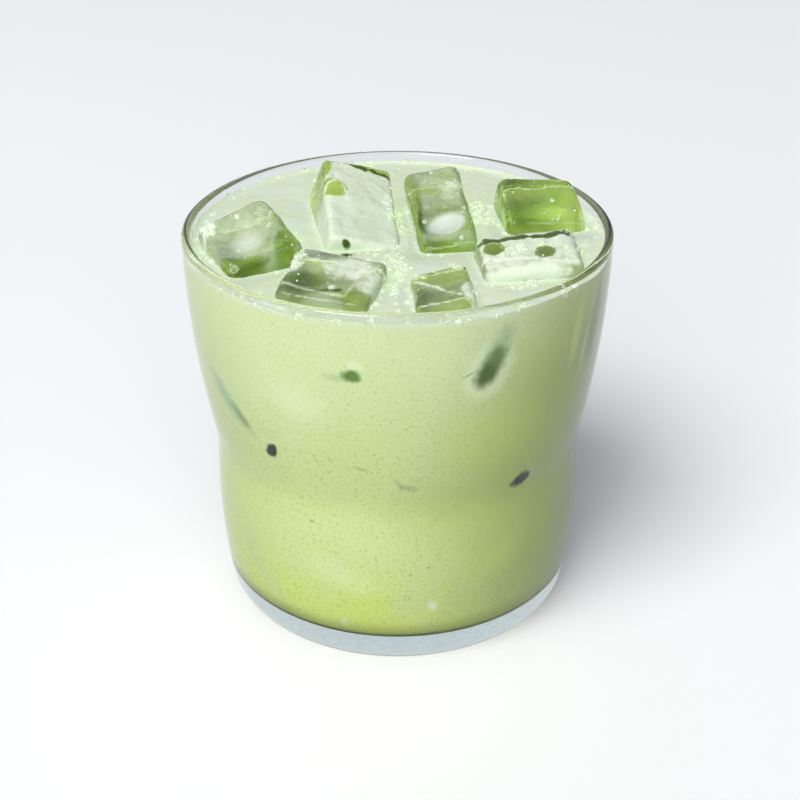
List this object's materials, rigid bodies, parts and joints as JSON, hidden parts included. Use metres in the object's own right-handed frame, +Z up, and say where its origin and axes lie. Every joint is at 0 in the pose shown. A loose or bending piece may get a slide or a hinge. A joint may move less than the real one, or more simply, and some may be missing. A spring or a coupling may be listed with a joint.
{
  "type": "matcha latte",
  "caption": "Iced matcha latte: a clear stacking tumbler with a thick base, filled almost to the rim with milky green tea, ice cubes standing out of the top.",
  "frame": {"origin": "on the axis of the glass, on the plane it stands on, at the bottom centre of the bounding box", "axes": "+Z up along the axis of the glass, the longest extent; +X to the right and +Y to the back of the view the ice is laid out for"},
  "size_m": [0.09, 0.09, 0.0952],
  "materials": {
    "glass": "clear pressed glass",
    "drink": "opaque milky green liquid",
    "ice": "clear ice, wet"
  },
  "bodies": {
    "root": {"glass": "glass", "drink": "drink", "ice_cube_1": "ice", "ice_cube_2": "ice", "ice_cube_3": "ice", "ice_cube_4": "ice", "ice_cube_5": "ice", "ice_cube_6": "ice", "ice_cube_7": "ice"}
  },
  "joints": []
}
